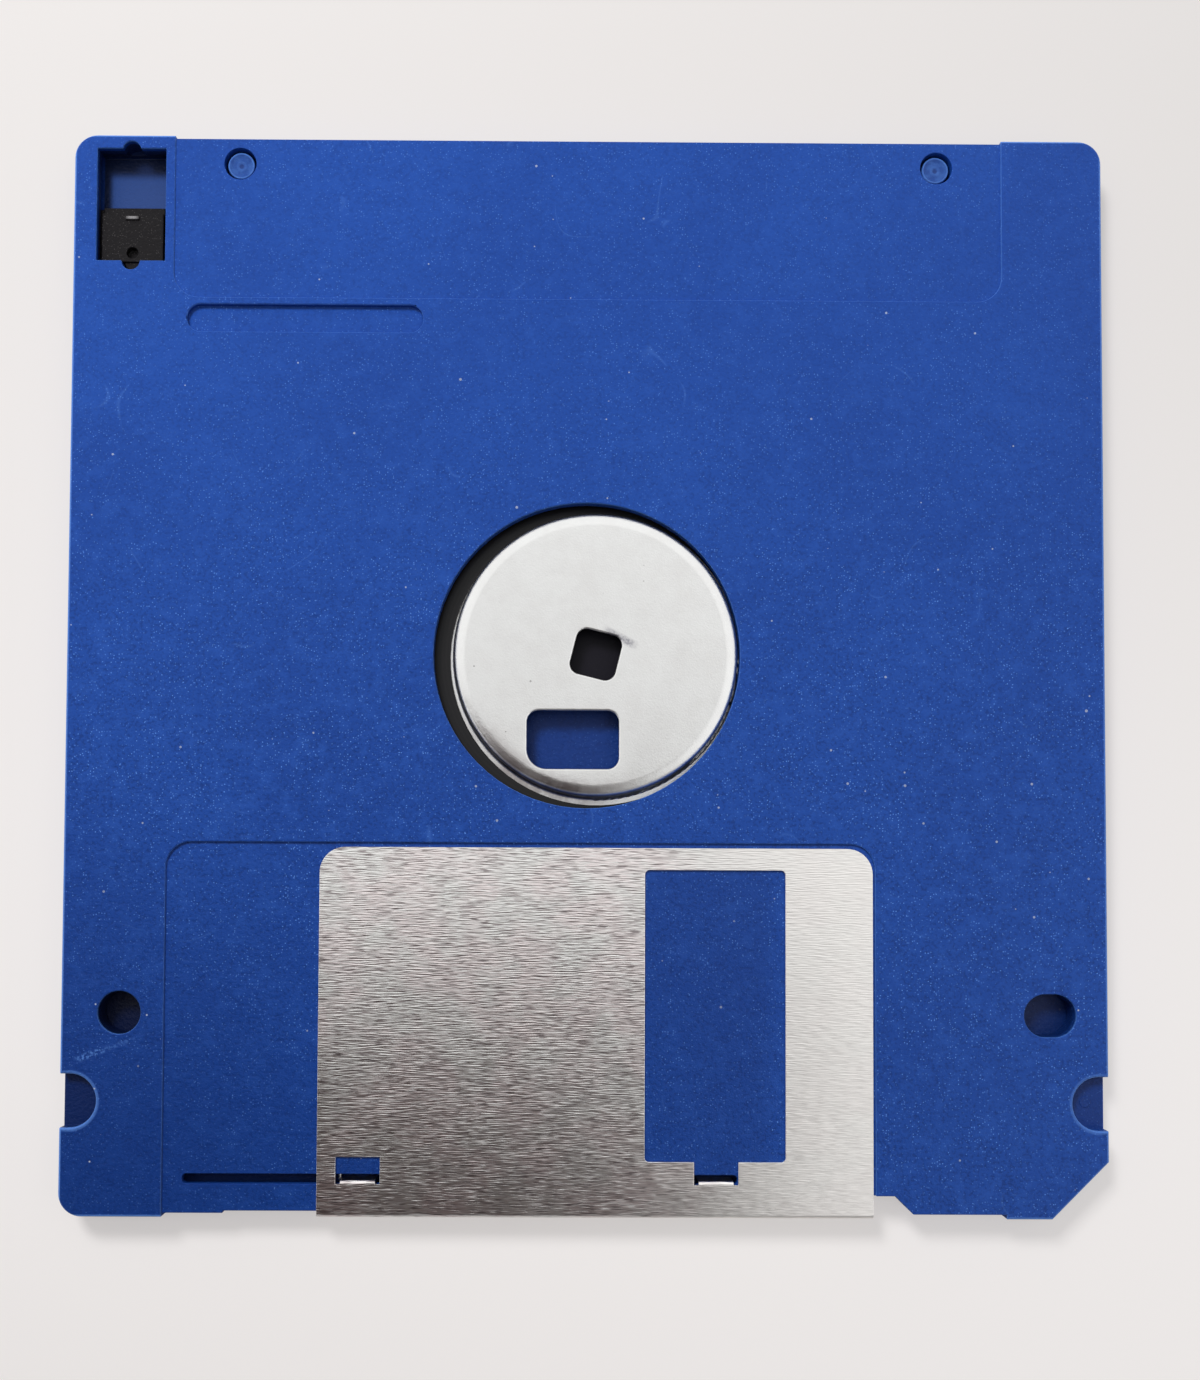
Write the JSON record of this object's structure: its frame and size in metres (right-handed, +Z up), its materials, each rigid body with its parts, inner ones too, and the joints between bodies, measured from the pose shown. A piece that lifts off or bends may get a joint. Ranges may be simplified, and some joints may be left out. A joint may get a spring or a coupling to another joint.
{
  "type": "floppy disk",
  "caption": "Thin plastic cartridge case, hub side up, holding a flexible disk on a stamped metal hub, with a sprung sliding metal shutter and a write-protect slider.",
  "frame": {"origin": "centre of the base of the bounding box, on the surface that the cartridge lies on", "axes": "+X across the case towards the cut-off corner, +Y from the shutter edge to the label edge, +Z up, out of the hub side"},
  "size_m": [0.09, 0.094, 0.0033],
  "materials": {
    "case_plastic": "fine matte grain, moulded",
    "shutter_steel": "brushed across its width",
    "spring_steel": "drawn wire",
    "slider_plastic": "satin, moulded",
    "disk_film": "coated film",
    "hub_steel": "satin, stamped",
    "glue": "clear amber glue ring",
    "liner_fabric": "nonwoven fleece",
    "lifter_film": "smooth film",
    "pad_plastic": "slippery plastic disc"
  },
  "bodies": {
    "case": {"back_shell": "case_plastic", "front_shell": "case_plastic", "shutter_spring": "spring_steel", "back_liner": "liner_fabric", "front_liner": "liner_fabric", "liner_lifter": "lifter_film", "hub_wear_pad": "pad_plastic"},
    "shutter": {"shutter": "shutter_steel"},
    "disk": {"magnetic_disk": "disk_film", "hub": "hub_steel", "hub_glue_ring": "glue"},
    "slider": {"write_protect_slider": "slider_plastic"}
  },
  "joints": [
    {"name": "shutter_slide", "type": "slide", "parent": "case", "child": "shutter", "axis": [-1, 0, 0], "range_m": [0, 0.0125], "stiffness_N_per_m": 20, "springref_m": -0.015, "deforming": ["shutter_spring"]},
    {"name": "disk_spin", "type": "hinge", "parent": "case", "child": "disk", "pos_m": [0.00078, 0.0015, 0.00165], "axis": [0, 0, 1], "continuous": true},
    {"name": "write_protect_slide", "type": "slide", "parent": "case", "child": "slider", "axis": [0, 1, 0], "range_m": [0, 0.0047]}
  ]
}
